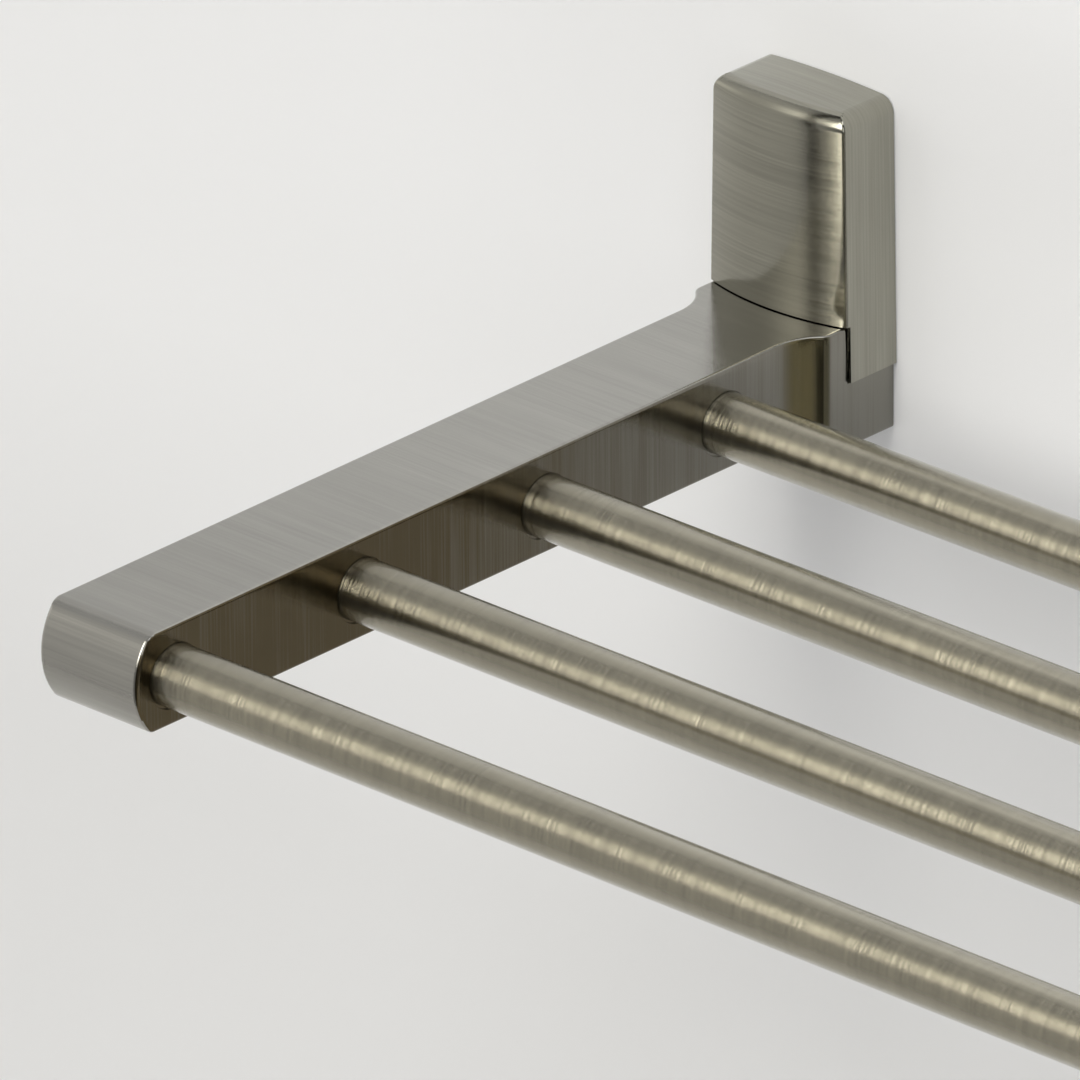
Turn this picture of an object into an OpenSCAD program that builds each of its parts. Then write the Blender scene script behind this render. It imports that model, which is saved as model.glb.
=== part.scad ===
// Wall-mounted towel shelf: two cast end brackets, each with a lift-off post cover,
// carry four round bars side by side.
// +X runs along the bars, the wall is the plane Y = 0 with the shelf on its -Y side, +Z is up.
// The origin is the middle of the four wall screws, on the wall.

/* [Overall] */
// Length over the two root blocks
overall_length = 600; // [450:10:800]
// Depth of the bar axes below the middle of the wall screws
bar_drop = 37; // [36:0.5:40]

/* [Bars] */
// Outer diameter of a bar
bar_d = 14; // [12:0.5:14]
// Wall thickness of the bar's tube
bar_wall = 1; // [0.8:0.1:1.5]
// Distance from one bar's axis to the next
bar_pitch = 56.6; // [50:0.1:65]
// Distance of the rear bar's axis from the wall
rear_bar_to_wall = 48.5; // [46:0.5:60]

/* [Arms] */
// Width of the arm's straight part
arm_w = 28.5; // [26:0.5:32]
// Height of the arm's top above the bar axes, at the front bar
arm_top = 11.3; // [11:0.1:12]
// How much the arm's top has climbed where it meets the wall
arm_rise = 1.3; // [0:0.1:1.5]
// Depth of the arm's bottom below the bar axes
arm_bottom = 11.3; // [10.5:0.1:12]
// How far the nose reaches ahead of the front bar's axis
nose_reach = 11.4; // [11:0.1:14]
// Radius of the nose, seen from the side
nose_r = 16.5; // [15:0.5:20]

/* [Sockets] */
// Diameter of the blind socket that takes a bar's end
socket_d = 14.8; // [14.6:0.1:15.4]
// Depth of the socket
socket_depth = 18; // [14:0.5:20]
// How far the socket's axis lies below the bar's, so that the grub screw clamps the bar upwards
socket_drop = 0.25; // [0:0.05:0.3]

/* [Root] */
// Width of the root block at the wall
root_w = 38.5; // [36:0.1:39]
// Depth of the root block's bottom below the arm's bottom
root_drop = 4.7; // [0:0.1:8]
// Length of the flare between the straight arm and the root block
flare_length = 12; // [11:0.5:16]
// Distance of the flare's wide end from the wall
flare_to_wall = 20; // [19:0.5:22]
// Radius of the turn from the flare into the root block, seen from above
flare_end_r = 2.7; // [1:0.1:4]

/* [Post cover] */
// Width of the cover level with the arm's top
cover_w = 39.7; // [39.5:0.1:42]
// Height of the cover above the arm's top, in the middle
cover_h = 49.2; // [46:0.1:50]
// Depth of the cover's flat sides from the wall, to where they would meet the bowed front
cover_side = 15.7; // [15.2:0.1:16]
// Depth of the cover in the middle of its bowed front
cover_mid = 18.9; // [18:0.1:20]
// Radius of the two front corners
corner_r = 1.1; // [0.8:0.1:2]
// Radius of the rounding round the top
crown_r = 3.5; // [2:0.5:4]
// How much the top is domed
dome_h = 0.7; // [0.5:0.1:1.2]
// Slope of each side, in degrees from upright
draft = 1; // [0:0.1:1.2]
// Wall thickness of the cover
cover_wall = 1.4; // [1:0.1:1.6]
// How far the side tongues reach below the arm's top
tongue_h = 13; // [8:0.5:14]
// Distance of a tongue's front edge from the wall
tongue_to_wall = 14.6; // [12:0.1:14.8]
// Gap between a tongue's front edge and the shoulder, at the arm's top; it narrows to the seam
shoulder_gap = 1; // [0.3:0.1:1.2]
// Gap between the cover and the arm
seam = 0.25; // [0.2:0.05:0.5]

/* [Wall flange] */
// Width of the upright flange inside the cover
flange_w = 34.6; // [30:0.1:34.6]
// Thickness of the flange
flange_t = 5; // [4:0.5:6]
// Distance between a bracket's two wall screws
screw_pitch = 26; // [24:1:28]
// Diameter of the screw holes
screw_hole_d = 5.5; // [5.2:0.1:6]

/* [Fixings] */
// Diameter of the wall screw's thread
thread_d = 5; // [4:0.5:5]
// Diameter of the wall screw's plain shank
shank_d = 4.2; // [3:0.1:4.4]
// Length of the wall screw's thread behind the wall plane, with its point
thread_length = 38; // [30:1:45]
// Diameter of the wall screw's head
head_d = 9.6; // [8:0.1:10]
// Height of the wall screw's head
head_h = 3; // [2.5:0.1:3.5]
// Outer diameter of the washer
washer_d = 12; // [10:0.5:14]
// Thickness of the washer
washer_t = 1; // [0.8:0.1:1.5]
// Diameter of the wall plug
plug_d = 8; // [7:0.5:10]
// Length of the wall plug
plug_length = 40; // [38:1:50]
// How far the wall plug is sunk below the wall's surface
plug_sink = 2.5; // [2.2:0.1:4]
// Diameter of the grub screws
grub_d = 5; // [4:0.5:5]

/* [Hidden] */

// Smoothness of large and small rounds
round_fn = 96;
small_fn = 48;
// A cut runs this far past the face that it opens
past = 1;

bar_count = 4;
bar_z = -bar_drop;
rear_bar_y = -rear_bar_to_wall;
front_bar_y = rear_bar_y - (bar_count - 1) * bar_pitch;
nose_y = front_bar_y - nose_reach;

// Each bracket is drawn round its own upright middle plane, with the inner face on its +X side
bracket_x = overall_length / 2 - cover_w / 2;
inner_x = arm_w / 2;
arm_top_z = bar_z + arm_top;
root_top_z = arm_top_z + arm_rise;
arm_slope = arm_rise / -front_bar_y;
arm_bottom_z = bar_z - arm_bottom;
root_bottom_z = arm_bottom_z - root_drop;
cover_top_z = root_top_z + cover_h;
tongue_z = root_top_z - tongue_h;

// Clearance of the tube ends, the plugs and the screws in their holes
end_gap = 0.4;
slip = 0.05;
bar_end_x = bracket_x - inner_x + socket_depth;
bar_length = 2 * (bar_end_x - end_gap);
plug_body_length = 15;
grub_x = inner_x - socket_depth / 2;
grub_socket_d = 2.9;
grub_socket_depth = 2;
grub_recess = 0.2;

screw_z = screw_pitch / 2;
screw_point = 4;
screw_slot = 1.4;
screw_slot_depth = 1.6;
plug_slit_w = 1;
plug_slit_depth = 1.6;
plug_groove_depth = 0.4;
plug_groove_w = 1.2;
plug_groove_pitch = 3;
plug_groove_count = 4;
plug_tip = 3;

pad_d = 4.4;
pad_stem_d = 2.9;
pad_stem_length = 5;
pad_proud = 0.6;
pad_hole_d = 3;

// Radius of the cover's bowed front, seen from above
bow_rise = cover_mid - cover_side;
bow_r = (pow(cover_w / 2, 2) + pow(bow_rise, 2)) / (2 * bow_rise);
inner_corner_r = 0.8;

flange_top_z = cover_top_z - dome_h - crown_r - cover_wall;
flange_corner_r = 4;

// Steps of the smooth curves in the outlines
flare_steps = 12;
corner_steps = 8;
bow_steps = 16;
crown_steps = 5;

// The flare's curve: a long hollow arc, then a short turn into the root block.
// Each point is its distance from the wall and how much of the flare's growth is reached there.
flare_growth = (root_w - arm_w) / 2;
flare_turn = 2 * atan(flare_growth / flare_length);
flare_r = flare_length / sin(flare_turn) - flare_end_r;
flare_curve = concat(
    [
        for (i = [0:flare_steps])
            let (a = flare_turn * i / flare_steps)
            [
                flare_to_wall + flare_length - flare_r * sin(a),
                flare_r * (1 - cos(a)) / flare_growth
            ]
    ],
    [
        for (i = [corner_steps - 1:-1:0])
            let (a = flare_turn * i / corner_steps)
            [
                flare_to_wall + flare_end_r * sin(a),
                1 - flare_end_r * (1 - cos(a)) / flare_growth
            ]
    ]
);

// The arm's side seen from above, along the flare
function flare_points(side) = [
    for (p = flare_curve) [side * (arm_w / 2 + flare_growth * p[1]), -p[0]]
];

function backwards(points) = [for (i = [len(points) - 1:-1:0]) points[i]];

// The arm seen from above
module arm_plan() {
    polygon(concat(
        [[-inner_x, nose_y - past], [inner_x, nose_y - past]],
        flare_points(1),
        [[root_w / 2, 0], [-root_w / 2, 0]],
        backwards(flare_points(-1))
    ));
}

// The arm seen from its +X side, with Y to the right and Z up
module arm_side() {
    bottom_flare = backwards([for (p = flare_curve) [-p[0], arm_bottom_z - root_drop * p[1]]]);
    nose_z = bar_z + (arm_top - arm_bottom) / 2;
    intersection() {
        polygon(concat(
            [
                [nose_y - past, arm_bottom_z],
                [nose_y - past, arm_top_z - arm_slope * (nose_reach + past)],
                [0, root_top_z],
                [0, root_bottom_z]
            ],
            bottom_flare
        ));
        union() {
            translate([nose_y + nose_r, nose_z]) circle(r = nose_r, $fn = round_fn);
            translate([nose_y + nose_r, root_bottom_z - past])
                square([-nose_y, cover_h]);
        }
    }
}

module arm_body() {
    intersection() {
        translate([0, 0, root_bottom_z - past]) linear_extrude(cover_h) arm_plan();
        rotate([90, 0, 90]) translate([0, 0, -root_w])
            linear_extrude(2 * root_w) arm_side();
    }
}

// The upright plate behind the cover, with its two top corners rounded
module flange() {
    rotate([90, 0, 0]) linear_extrude(flange_t) {
        translate([-flange_w / 2, root_bottom_z])
            square([flange_w, flange_top_z - flange_corner_r - root_bottom_z]);
        translate([-flange_w / 2 + flange_corner_r, root_bottom_z])
            square([flange_w - 2 * flange_corner_r, flange_top_z - root_bottom_z]);
        for (side = [-1, 1])
            translate([side * (flange_w / 2 - flange_corner_r), flange_top_z - flange_corner_r])
                circle(r = flange_corner_r, $fn = small_fn);
    }
}

// The steps in which the cover's tongues hang, behind shoulders that lean back upwards
module tongue_notches() {
    for (side = [-1, 1])
        translate([side * (flange_w + root_w) / 2, 0, 0])
            rotate([90, 0, 90]) translate([0, 0, -root_w / 2]) linear_extrude(root_w)
                polygon([
                    [past, tongue_z - seam],
                    [-tongue_to_wall - seam, tongue_z - seam],
                    [-tongue_to_wall - shoulder_gap, root_top_z],
                    [-tongue_to_wall - shoulder_gap, root_top_z + past],
                    [past, root_top_z + past]
                ]);
}

// Blind holes for the bars, from the arm's inner face, and the tapped holes below them
module bar_holes() {
    for (i = [0:bar_count - 1])
        translate([0, front_bar_y + i * bar_pitch, bar_z]) {
            translate([inner_x - socket_depth, 0, -socket_drop]) rotate([0, 90, 0])
                cylinder(d = socket_d, h = socket_depth + past, $fn = round_fn);
            translate([grub_x, 0, -arm_bottom - past])
                cylinder(d = grub_d, h = arm_bottom, $fn = small_fn);
        }
}

// Lays what is drawn along +Z, from the wall outwards, on the axis of each wall screw
module at_wall_screws() {
    for (z = [-screw_z, screw_z])
        translate([0, 0, z]) rotate([90, 0, 0]) children();
}

// Lays what is drawn along +Z in the middle of the flange's two side edges
module at_pads() {
    for (side = [-1, 1])
        translate([side * flange_w / 2, -flange_t / 2, 0]) rotate([0, side * 90, 0]) children();
}

module arm() {
    color("darkkhaki") difference() {
        union() {
            difference() {
                arm_body();
                tongue_notches();
            }
            flange();
        }
        bar_holes();
        at_wall_screws() translate([0, 0, -past])
            cylinder(d = screw_hole_d, h = flange_t + 2 * past, $fn = small_fn);
        at_pads() translate([0, 0, -pad_stem_length])
            cylinder(d = pad_hole_d, h = pad_stem_length + past, $fn = small_fn);
    }
}

// The cover seen from above: flat sides w apart, a bowed front and two rounded corners
function cover_outline(w, mid, bow, corner) =
    let (
        bow_y = bow - mid,
        corner_x = w / 2 - corner,
        corner_y = bow_y - sqrt(pow(bow - corner, 2) - pow(corner_x, 2)),
        swing = atan2(bow_y - corner_y, corner_x)
    )
    concat(
        [[w / 2, 0]],
        [
            for (i = [0:corner_steps])
                let (a = -swing * i / corner_steps)
                [corner_x + corner * cos(a), corner_y + corner * sin(a)]
        ],
        [
            for (i = [1:bow_steps - 1])
                let (a = -swing - (180 - 2 * swing) * i / bow_steps)
                [bow * cos(a), bow_y + bow * sin(a)]
        ],
        [
            for (i = [corner_steps:-1:0])
                let (a = -swing * i / corner_steps)
                [-corner_x - corner * cos(a), corner_y + corner * sin(a)]
        ],
        [[-w / 2, 0]]
    );

// A thin slice of the cover at height z, drawn in by inset all round but not at the wall
module cover_slice(z, inset) {
    w = cover_w - 2 * tan(draft) * (z - root_top_z);
    translate([0, 0, z]) linear_extrude(0.01)
        polygon(cover_outline(
            w - 2 * inset, cover_mid - inset, bow_r - inset, max(corner_r - inset, inner_corner_r)
        ));
}

// The low dome inside the crown's rounding, bowed from side to side
module crown_dome() {
    half = cover_w / 2 - tan(draft) * cover_h - crown_r;
    rotate([90, 0, 0]) linear_extrude(cover_side - crown_r)
        polygon([
            for (i = [0:bow_steps])
                let (x = half * (2 * i / bow_steps - 1))
                [x, cover_top_z - dome_h * pow(x / half, 2)]
        ]);
}

module cover() {
    crown_z = cover_top_z - dome_h - crown_r;
    inside_top_z = cover_top_z - dome_h - cover_wall;
    color("darkkhaki") difference() {
        hull() {
            cover_slice(tongue_z, 0);
            for (i = [0:crown_steps])
                let (a = 90 * i / crown_steps)
                cover_slice(crown_z + crown_r * sin(a), crown_r * (1 - cos(a)));
            crown_dome();
        }
        hull() {
            translate([0, 0, -past]) cover_slice(tongue_z, cover_wall);
            cover_slice(inside_top_z, cover_wall);
            translate([0, past, -past]) cover_slice(tongue_z, cover_wall);
            translate([0, past, 0]) cover_slice(inside_top_z, cover_wall);
        }
        translate([-cover_w, -cover_mid - past, tongue_z - past])
            cube([
                2 * cover_w,
                cover_mid + past - tongue_to_wall,
                tongue_h + past + seam - arm_slope * tongue_to_wall
            ]);
    }
}

// A round tube between the two brackets; i counts from the front
module bar(i) {
    color("wheat") translate([-bar_length / 2, front_bar_y + i * bar_pitch, bar_z]) rotate([0, 90, 0])
        difference() {
            cylinder(d = bar_d, h = bar_length, $fn = round_fn);
            translate([0, 0, -past])
                cylinder(d = bar_d - 2 * bar_wall, h = bar_length + 2 * past, $fn = round_fn);
        }
}

// Solid inserts in the tube ends, which the grub screws press on through the tube
module bar_plugs() {
    tube_end_x = inner_x - socket_depth + end_gap;
    color("dimgray") for (i = [0:bar_count - 1])
        translate([tube_end_x, front_bar_y + i * bar_pitch, bar_z]) rotate([0, 90, 0])
            translate([0, 0, slip])
                cylinder(d = bar_d - 2 * bar_wall - 2 * slip, h = plug_body_length, $fn = small_fn);
}

// Headless screws from below the arm, with hexagon sockets, up to the underside of the bars
module grub_screws() {
    tip_z = bar_z - bar_d / 2 - slip;
    foot_z = arm_bottom_z + grub_recess;
    color("silver") for (i = [0:bar_count - 1])
        translate([grub_x, front_bar_y + i * bar_pitch, foot_z])
            difference() {
                cylinder(d = grub_d - 2 * slip, h = tip_z - foot_z, $fn = small_fn);
                translate([0, 0, -past])
                    cylinder(d = grub_socket_d, h = grub_socket_depth + past, $fn = 6);
            }
}

// Pan-head screws with a cross recess; the thread is a plain cylinder behind the wall plane
module wall_screws() {
    head_z = flange_t + washer_t;
    dome_r = (pow(head_d / 2, 2) + pow(head_h, 2)) / (2 * head_h);
    color("gainsboro") at_wall_screws() difference() {
        union() {
            intersection() {
                translate([0, 0, head_z]) cylinder(d = head_d, h = head_h, $fn = small_fn);
                translate([0, 0, head_z + head_h - dome_r]) sphere(r = dome_r, $fn = small_fn);
            }
            cylinder(d = shank_d, h = head_z + past, $fn = small_fn);
            translate([0, 0, screw_point - thread_length])
                cylinder(d = thread_d, h = thread_length - screw_point, $fn = small_fn);
            translate([0, 0, -thread_length])
                cylinder(d1 = 1, d2 = thread_d, h = screw_point, $fn = small_fn);
        }
        for (turn = [0, 90])
            rotate([0, 0, turn])
                translate([-head_d / 4, -screw_slot / 2, head_z + head_h - screw_slot_depth])
                    cube([head_d / 2, screw_slot, head_h]);
    }
}

module washers() {
    color("gainsboro") at_wall_screws() translate([0, 0, flange_t]) difference() {
        cylinder(d = washer_d, h = washer_t, $fn = small_fn);
        translate([0, 0, -past]) cylinder(d = screw_hole_d, h = washer_t + 2 * past, $fn = small_fn);
    }
}

// Nylon plugs in the wall; the screws cut their own way into them
module wall_plugs() {
    color("slategray") at_wall_screws() translate([0, 0, -plug_sink]) difference() {
        union() {
            translate([0, 0, plug_tip - plug_length])
                cylinder(d = plug_d, h = plug_length - plug_tip, $fn = small_fn);
            translate([0, 0, -plug_length])
                cylinder(d1 = plug_d * 0.6, d2 = plug_d, h = plug_tip, $fn = small_fn);
        }
        for (turn = [0:90:270])
            rotate([0, 0, turn])
                translate([plug_d / 2 - plug_slit_depth, -plug_slit_w / 2, -plug_length * 0.85])
                    cube([plug_slit_depth + past, plug_slit_w, plug_length * 0.55]);
        for (i = [1:plug_groove_count])
            translate([0, 0, -i * plug_groove_pitch]) difference() {
                cylinder(d = plug_d + past, h = plug_groove_w, $fn = small_fn);
                translate([0, 0, -past])
                    cylinder(
                        d = plug_d - 2 * plug_groove_depth, h = plug_groove_w + 2 * past, $fn = small_fn
                    );
            }
    }
}

// Nylon buttons in the flange's side edges, which steady the cover
module cover_pads() {
    color("whitesmoke") at_pads() {
        translate([0, 0, slip - pad_stem_length])
            cylinder(d = pad_stem_d, h = pad_stem_length, $fn = small_fn);
        cylinder(d = pad_d, h = pad_proud, $fn = small_fn);
    }
}

// Places a left bracket's piece, or its mirror image at the right end
module at_left() {
    translate([-bracket_x, 0, 0]) children();
}

module at_right() {
    translate([bracket_x, 0, 0]) mirror([1, 0, 0]) children();
}

at_left() arm();  // left_arm
at_right() arm();  // right_arm
at_left() cover();  // left_cover
at_right() cover();  // right_cover
bar(0);  // front_bar
bar(1);  // second_bar
bar(2);  // third_bar
bar(3);  // rear_bar
at_left() bar_plugs();  // left_bar_plugs
at_right() bar_plugs();  // right_bar_plugs
at_left() grub_screws();  // left_grub_screws
at_right() grub_screws();  // right_grub_screws
at_left() wall_screws();  // left_wall_screws
at_right() wall_screws();  // right_wall_screws
at_left() washers();  // left_washers
at_right() washers();  // right_washers
at_left() wall_plugs();  // left_wall_plugs
at_right() wall_plugs();  // right_wall_plugs
at_left() cover_pads();  // left_cover_pads
at_right() cover_pads();  // right_cover_pads
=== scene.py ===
import math

import bpy
from mathutils import Matrix, Vector


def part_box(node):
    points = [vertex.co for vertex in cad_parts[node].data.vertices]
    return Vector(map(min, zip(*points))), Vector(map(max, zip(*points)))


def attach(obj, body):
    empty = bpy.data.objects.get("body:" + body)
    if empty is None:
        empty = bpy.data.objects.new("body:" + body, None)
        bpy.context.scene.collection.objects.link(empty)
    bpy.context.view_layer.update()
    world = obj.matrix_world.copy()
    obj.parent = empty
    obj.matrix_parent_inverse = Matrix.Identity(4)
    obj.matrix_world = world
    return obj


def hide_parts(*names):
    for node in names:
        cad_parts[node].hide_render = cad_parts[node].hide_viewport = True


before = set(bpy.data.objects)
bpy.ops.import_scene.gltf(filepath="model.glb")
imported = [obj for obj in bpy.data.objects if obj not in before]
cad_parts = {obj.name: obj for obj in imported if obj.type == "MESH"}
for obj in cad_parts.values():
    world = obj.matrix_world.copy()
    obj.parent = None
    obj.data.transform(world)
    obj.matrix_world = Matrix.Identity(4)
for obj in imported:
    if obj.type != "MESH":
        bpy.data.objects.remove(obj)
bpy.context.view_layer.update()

# Every size is in metres, in the frame of the CAD: X along the bars, the wall at Y = 0, Z up
MM = 0.001

BARS = ["front_bar", "second_bar", "third_bar", "rear_bar"]
ENDS = {"left": -1, "right": 1}

# Sizes of the bracket that the nodes' boxes don't give
ARM_WIDTH = 28.5 * MM
ARM_ABOVE_BARS = 11.3 * MM
ARM_RISE = 1.3 * MM
NOSE_RADIUS = 16.5 * MM
SOCKET_RADIUS = 7.4 * MM
SOCKET_DEPTH = 18 * MM
SOCKET_DROP = 0.25 * MM
GRUB_HOLE_RADIUS = 2.5 * MM
ROOT_DROP = 4.7 * MM
FLARE_LENGTH = 12 * MM
FLARE_TO_WALL = 20 * MM
FLARE_END_RADIUS = 2.7 * MM
COVER_WIDTH = 39.7 * MM
COVER_SIDE = 15.7 * MM
CORNER_RADIUS = 1.1 * MM
CROWN_RADIUS = 3.5 * MM
DOME = 0.7 * MM
DRAFT = math.radians(1)
COVER_WALL = 1.4 * MM
TONGUE = 13 * MM
TONGUE_TO_WALL = 14.6 * MM
SHOULDER_GAP = 1 * MM
SEAM = 0.25 * MM
FLANGE_WIDTH = 34.6 * MM
FLANGE_THICKNESS = 5 * MM
FLANGE_CORNER = 4 * MM
SCREW_Z = 13 * MM
SCREW_HOLE_RADIUS = 2.75 * MM
PAD_HOLE_RADIUS = 1.5 * MM
PAD_HOLE_DEPTH = 5 * MM
BAR_WALL = 1 * MM

# How many flats a bore, a screw hole and a bar are made of
BORE_SIDES = 96
HOLE_SIDES = 48
BAR_SIDES = 128
# A cutter runs this far past the face that it opens
PAST = 2 * MM
# Vertices move in whole multiples of this
FINEST_MOVE = 0.0005 * MM
# Rows of faces in a rounded edge and in a fine chamfer
EDGE_SEGMENTS = 6
RIM_SEGMENTS = 2
# Edges from this angle on stay sharp, and large faces lead the shading of their edges by this much
SHARP_FROM = math.radians(40)
FLAT_WEIGHT = 90
# A face looks sideways, or to the bars, where its normal has more than this along the bars
SIDEWAYS = 0.6

arm_low, arm_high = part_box("left_arm")
cover_low, cover_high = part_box("left_cover")
front_low, front_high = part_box("front_bar")
bar_radius = (front_high.z - front_low.z) / 2
bar_z = (front_high.z + front_low.z) / 2
bar_end = front_high.x
bar_ys = [sum(corner.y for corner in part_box(name)) / 2 for name in BARS]
bracket_x = -(arm_low.x + arm_high.x) / 2
root_width = arm_high.x - arm_low.x
nose_y = arm_low.y
root_bottom = arm_low.z
arm_bottom = root_bottom + ROOT_DROP
flange_top = arm_high.z
arm_top = bar_z + ARM_ABOVE_BARS
root_top = arm_top + ARM_RISE
cover_top = cover_high.z
cover_front = cover_low.y
tongue_bottom = root_top - TONGUE


# Modelling: blocks and rods are added at their size, then shaped in edit mode by place


def deselect_all():
    bpy.ops.object.select_all(action="DESELECT")


def make_active(piece):
    deselect_all()
    piece.select_set(True)
    bpy.context.view_layer.objects.active = piece


def settle(piece):
    """The piece's place, turn and size go into its mesh."""
    make_active(piece)
    bpy.ops.object.transform_apply(location=True, rotation=True, scale=True)
    return piece


def block(name, low, high):
    deselect_all()
    low, high = Vector(low), Vector(high)
    bpy.ops.mesh.primitive_cube_add(size=1, location=(low + high) / 2)
    piece = bpy.context.object
    piece.name = name
    piece.scale = high - low
    return settle(piece)


def rod(name, start, end, radius, sides=BORE_SIDES):
    """A closed cylinder from one point to another."""
    deselect_all()
    start, end = Vector(start), Vector(end)
    along = end - start
    bpy.ops.mesh.primitive_cylinder_add(
        vertices=sides, radius=radius, depth=along.length, location=(start + end) / 2
    )
    piece = bpy.context.object
    piece.name = name
    piece.rotation_euler = along.to_track_quat("Z", "Y").to_euler()
    return settle(piece)


def edit(piece, kind, test):
    """Edit mode on the piece, with the vertices, edges or faces that pass the test selected."""
    make_active(piece)
    mesh = piece.data
    places = {"VERT": mesh.vertices, "EDGE": mesh.edges, "FACE": mesh.polygons}
    bpy.context.tool_settings.mesh_select_mode = [kind == k for k in ("VERT", "EDGE", "FACE")]
    for items in places.values():
        for item in items:
            item.select = False
    picked = [item for item in places[kind] if test(item)]
    for item in picked:
        item.select = True
    bpy.ops.object.mode_set(mode="EDIT")
    return len(picked)


def done():
    bpy.ops.object.mode_set(mode="OBJECT")


def cut(piece, axis, places, test=lambda face: True):
    """Cuts the faces that pass the test by planes square to an axis, for rows of vertices."""
    normal = Vector([float(i == axis) for i in range(3)])
    for place in places:
        edit(piece, "FACE", test)
        bpy.ops.mesh.bisect(plane_co=normal * place, plane_no=normal)
        done()


def shift(piece, test, offset):
    edit(piece, "VERT", lambda v: test(v.co))
    bpy.ops.transform.translate(value=offset)
    done()


def bend(piece, offset_at):
    """Moves every vertex by the offset for its place; those with the same offset move together."""
    groups = {}
    for v in piece.data.vertices:
        steps = tuple(round(part / FINEST_MOVE) for part in offset_at(v.co))
        if any(steps):
            groups.setdefault(steps, set()).add(v.index)
    for steps, members in groups.items():
        edit(piece, "VERT", lambda v: v.index in members)
        bpy.ops.transform.translate(value=Vector(steps) * FINEST_MOVE)
        done()


def near(a, b, within=0.01 * MM):
    return abs(a - b) < within


def trace(name, start, strokes):
    """A flat face whose outline is drawn from a point with lines and arcs, seen from above.

    A stroke is an offset, or an arc as its centre, its clockwise angle and its steps.
    """
    deselect_all()
    bpy.ops.mesh.primitive_plane_add(size=1 * MM, location=start)
    piece = settle(bpy.context.object)
    piece.name = name
    edit(piece, "VERT", lambda v: True)
    bpy.ops.mesh.merge(type="CENTER")
    for stroke in strokes:
        if isinstance(stroke, Vector):
            bpy.ops.mesh.extrude_region_move(TRANSFORM_OT_translate={"value": stroke})
        else:
            centre, angle, steps = stroke
            bpy.ops.mesh.spin(steps=steps, angle=angle, center=centre, axis=(0, 0, 1))
    bpy.ops.mesh.select_all(action="SELECT")
    bpy.ops.mesh.edge_face_add()
    done()
    return piece


def raise_up(piece, height):
    """Extrudes the piece's flat outline upwards to a closed solid."""
    edit(piece, "FACE", lambda face: True)
    bpy.ops.mesh.extrude_region_move(TRANSFORM_OT_translate={"value": (0, 0, height)})
    bpy.ops.mesh.select_all(action="SELECT")
    bpy.ops.mesh.normals_make_consistent(inside=False)
    done()


def edge_faces(mesh):
    """Each edge's faces, as a list by the edge's index."""
    faces = [[] for _ in mesh.edges]
    of_key = {edge.key: edge.index for edge in mesh.edges}
    for face in mesh.polygons:
        for key in face.edge_keys:
            faces[of_key[key]].append(face)
    return faces


def round_edges(piece, test, radius, segments):
    """Rounds the edges for which test(middle, normals of the two faces) holds."""
    mesh = piece.data
    faces = edge_faces(mesh)

    def picked(edge):
        ends = [mesh.vertices[i].co for i in edge.vertices]
        both = faces[edge.index]
        return len(both) == 2 and test((ends[0] + ends[1]) / 2, both[0].normal, both[1].normal)

    if edit(piece, "EDGE", picked):
        bpy.ops.mesh.bevel(
            offset=radius, segments=segments, profile=0.5, affect="EDGES", clamp_overlap=False
        )
    done()


def round_by(piece, radius_at):
    """Rounds each edge by radius_at(middle, normals of the two faces), all in one go."""
    mesh = piece.data
    radii = []
    for edge, both in zip(mesh.edges, edge_faces(mesh)):
        ends = [mesh.vertices[i].co for i in edge.vertices]
        radii.append(radius_at((ends[0] + ends[1]) / 2, both[0].normal, both[1].normal))
    widest = max(radii)
    weights = mesh.attributes.new("bevel_weight_edge", "FLOAT", "EDGE")
    weights.data.foreach_set("value", [radius / widest for radius in radii])
    add_modifier(
        piece,
        "BEVEL",
        width=widest,
        segments=EDGE_SEGMENTS,
        limit_method="WEIGHT",
        use_clamp_overlap=False,
    )
    mesh.attributes.remove(mesh.attributes["bevel_weight_edge"])


def add_modifier(piece, kind, **settings):
    make_active(piece)
    modifier = piece.modifiers.new(kind.title(), kind)
    for name, value in settings.items():
        setattr(modifier, name, value)
    bpy.ops.object.modifier_apply(modifier=modifier.name)


def combine(piece, other, operation):
    """Adds the other solid to the piece, or takes it away, and removes it."""
    add_modifier(piece, "BOOLEAN", object=other, operation=operation, solver="EXACT")
    bpy.data.objects.remove(other)


def smooth(piece):
    """Smooth shading with flat faces kept flat."""
    make_active(piece)
    bpy.ops.object.shade_smooth_by_angle(angle=SHARP_FROM)
    add_modifier(piece, "WEIGHTED_NORMAL", keep_sharp=True, weight=FLAT_WEIGHT)


def mark_sides(piece, other_way):
    """Stores whether the brush ran the other way on each face, and whether it looks to the bars."""
    mesh = piece.data
    side = mesh.attributes.new("side", "FLOAT", "FACE")
    side.data.foreach_set("value", [float(other_way(face.normal)) for face in mesh.polygons])
    inner = mesh.attributes.new("inner", "FLOAT", "FACE")
    inner.data.foreach_set("value", [float(face.normal.x > SIDEWAYS) for face in mesh.polygons])


def copy_mirrored(piece, name):
    """The piece's mirror image at the other end, with its faces turned outwards again."""
    other = piece.copy()
    other.data = piece.data.copy()
    other.name = name
    bpy.context.scene.collection.objects.link(other)
    other.data.transform(Matrix.Scale(-1, 4, (1, 0, 0)))
    other.data.flip_normals()
    return other


# The end bracket

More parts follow.
